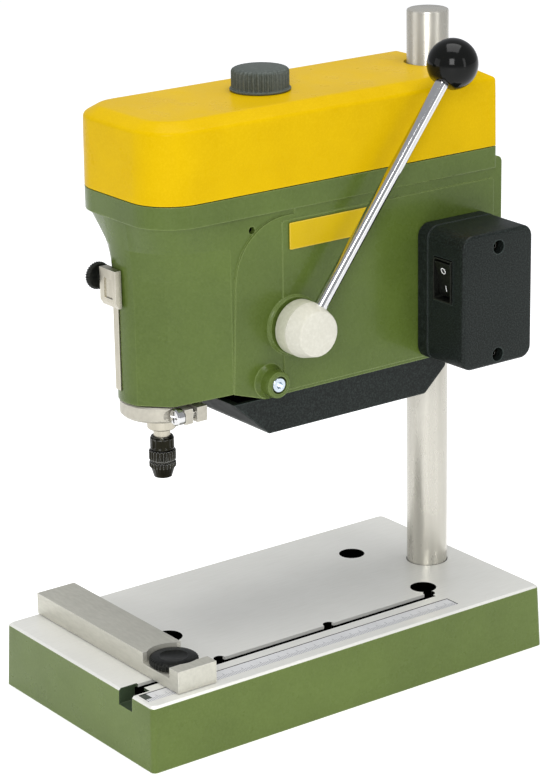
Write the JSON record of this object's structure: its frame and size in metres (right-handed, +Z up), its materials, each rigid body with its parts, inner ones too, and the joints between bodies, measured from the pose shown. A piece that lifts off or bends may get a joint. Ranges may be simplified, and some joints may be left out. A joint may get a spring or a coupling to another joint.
{
  "type": "bench drill press",
  "caption": "Small bench drill press: ground base plate with slotted fence, round column, belt-drive head with a side feed lever, quill, collet chuck, depth stop and switch box.",
  "frame": {"origin": "middle of the base plate's underside, on the plane it stands on", "axes": "+Z up along the column, +Y back from the spindle to the column, +X to the operator's right, where the feed lever and the switch box are"},
  "size_m": [0.126, 0.226, 0.295],
  "materials": {
    "green_casting": "glossy green paint on die casting, ground bare metal on the table face",
    "yellow_cover": "moulded plastic with a fine matt grain",
    "ground_steel": "ground steel",
    "bright_steel": "polished and chromed steel",
    "dark_steel": "blackened steel",
    "cast_aluminium": "machined aluminium, satin",
    "hub_coat": "light grey satin coat",
    "black_plastic": "black moulded plastic with a spark-eroded grain",
    "grey_plastic": "dark grey moulded plastic",
    "gloss_black": "polished black thermoset",
    "brass": "turned bronze",
    "belt_rubber": "round rubber belt",
    "plate_yellow": "blank printed plate"
  },
  "bodies": {
    "base": {"base_casting": "green_casting", "scale_strip": "cast_aluminium", "column_set_screw": "dark_steel"},
    "column": {"column": "bright_steel"},
    "fence": {"fence_bar": "cast_aluminium", "fence_tee_bolt": "dark_steel"},
    "fence_knob": {"fence_clamp_knob": "black_plastic"},
    "head": {"head_casting": "green_casting", "belt_cover": "yellow_cover", "motor_tray": "black_plastic", "tray_screw": "bright_steel", "nameplate": "plate_yellow", "head_clamp_nut": "dark_steel", "cover_stud": "ground_steel", "motor_bridge": "ground_steel", "drive_belt": "belt_rubber", "motor_body": "dark_steel", "motor_spacer_left": "cast_aluminium", "motor_screw_left": "dark_steel", "motor_spacer_right": "cast_aluminium", "motor_screw_right": "dark_steel", "pulley_bearing": "ground_steel", "feed_shaft_bush_left": "brass", "feed_shaft_bush_right": "brass", "return_spring": "ground_steel", "depth_stop_rail": "bright_steel", "switch_box_back": "black_plastic", "switch_box_cover": "black_plastic", "switch_box_screw_lower": "dark_steel", "switch_box_screw_upper": "dark_steel", "switch_frame": "black_plastic", "cable_inlet": "black_plastic"},
    "head_clamp": {"head_clamp_screw": "dark_steel"},
    "cover_knob": {"cover_knob": "grey_plastic"},
    "motor_rotor": {"motor_shaft": "bright_steel", "motor_pulley": "cast_aluminium"},
    "spindle_drive": {"spindle_pulley": "cast_aluminium"},
    "feed_lever": {"feed_shaft": "bright_steel", "feed_shaft_ring": "dark_steel", "feed_sector": "dark_steel", "feed_hub": "hub_coat", "lever_rod": "bright_steel", "lever_ball": "gloss_black"},
    "quill": {"quill": "ground_steel", "feed_rack": "dark_steel", "quill_bearing_lower": "ground_steel", "quill_bearing_upper": "ground_steel", "quill_clamp_ring": "cast_aluminium", "ring_clamp_screw": "bright_steel"},
    "spindle": {"spindle": "bright_steel", "chuck_body": "dark_steel", "collet": "bright_steel"},
    "chuck_nut": {"chuck_nut": "dark_steel"},
    "depth_stop": {"depth_stop_block": "cast_aluminium"},
    "depth_stop_knob": {"depth_stop_thumbscrew": "black_plastic"},
    "power_rocker": {"power_rocker": "black_plastic"}
  },
  "joints": [
    {"name": "column_swivel", "type": "hinge", "parent": "base", "child": "column", "pos_m": [0, 0.0895, 0.03], "axis": [0, 0, 1], "range_deg": [-90, 90]},
    {"name": "head_height", "type": "slide", "parent": "column", "child": "head", "axis": [0, 0, 1], "range_m": [-0.033, 0.04]},
    {"name": "head_clamp_turn", "type": "hinge", "parent": "head", "child": "head_clamp", "pos_m": [0, 0.11, 0.18], "axis": [1, 0, 0], "range_deg": [0, 180]},
    {"name": "cover_knob_turn", "type": "hinge", "parent": "head", "child": "cover_knob", "pos_m": [0, -0.004, 0.275], "axis": [0, 0, 1], "range_deg": [0, 360]},
    {"name": "spindle_drive", "type": "hinge", "parent": "head", "child": "spindle_drive", "pos_m": [0, -0.0605, 0.25], "axis": [0, 0, 1], "continuous": true},
    {"name": "motor_rotor", "type": "hinge", "parent": "head", "child": "motor_rotor", "pos_m": [0, 0.028, 0.25], "axis": [0, 0, 1], "continuous": true},
    {"name": "feed_lever", "type": "hinge", "parent": "head", "child": "feed_lever", "pos_m": [0.045, -0.014, 0.175], "axis": [1, 0, 0], "range_deg": [0, 61.3], "stiffness_Nm_per_rad": 0.12, "springref_deg": -171.89},
    {"name": "quill_feed", "type": "slide", "parent": "head", "child": "quill", "axis": [0, 0, -1], "range_m": [0, 0.03]},
    {"name": "spindle_turn", "type": "hinge", "parent": "quill", "child": "spindle", "pos_m": [0, -0.0605, 0.15], "axis": [0, 0, 1], "continuous": true},
    {"name": "chuck_nut_turn", "type": "hinge", "parent": "spindle", "child": "chuck_nut", "pos_m": [0, -0.0605, 0.112], "axis": [0, 0, 1], "range_deg": [-180, 0]},
    {"name": "depth_stop_height", "type": "slide", "parent": "head", "child": "depth_stop", "axis": [0, 0, 1], "range_m": [-0.034, 0]},
    {"name": "depth_stop_knob_turn", "type": "hinge", "parent": "depth_stop", "child": "depth_stop_knob", "pos_m": [-0.0148, -0.081, 0.1985], "axis": [1, 0, 0], "range_deg": [0, 360]},
    {"name": "fence_slide", "type": "slide", "parent": "base", "child": "fence", "axis": [0, 1, 0], "range_m": [-0.008, 0.125]},
    {"name": "fence_knob_turn", "type": "hinge", "parent": "fence", "child": "fence_knob", "pos_m": [0.0367, -0.0824, 0.0374], "axis": [0, 0, 1], "range_deg": [0, 360]},
    {"name": "power_rocker", "type": "hinge", "parent": "head", "child": "power_rocker", "pos_m": [0.0524, 0.0566, 0.186], "axis": [-1, 0, 0], "range_deg": [0, 24]}
  ],
  "couplings": [
    {"joint": "quill_feed", "follows": "feed_lever", "m_per_rad": 0.028},
    {"joint": "spindle_turn", "follows": "spindle_drive", "ratio": 1},
    {"joint": "motor_rotor", "follows": "spindle_drive", "ratio": 1.2609}
  ]
}
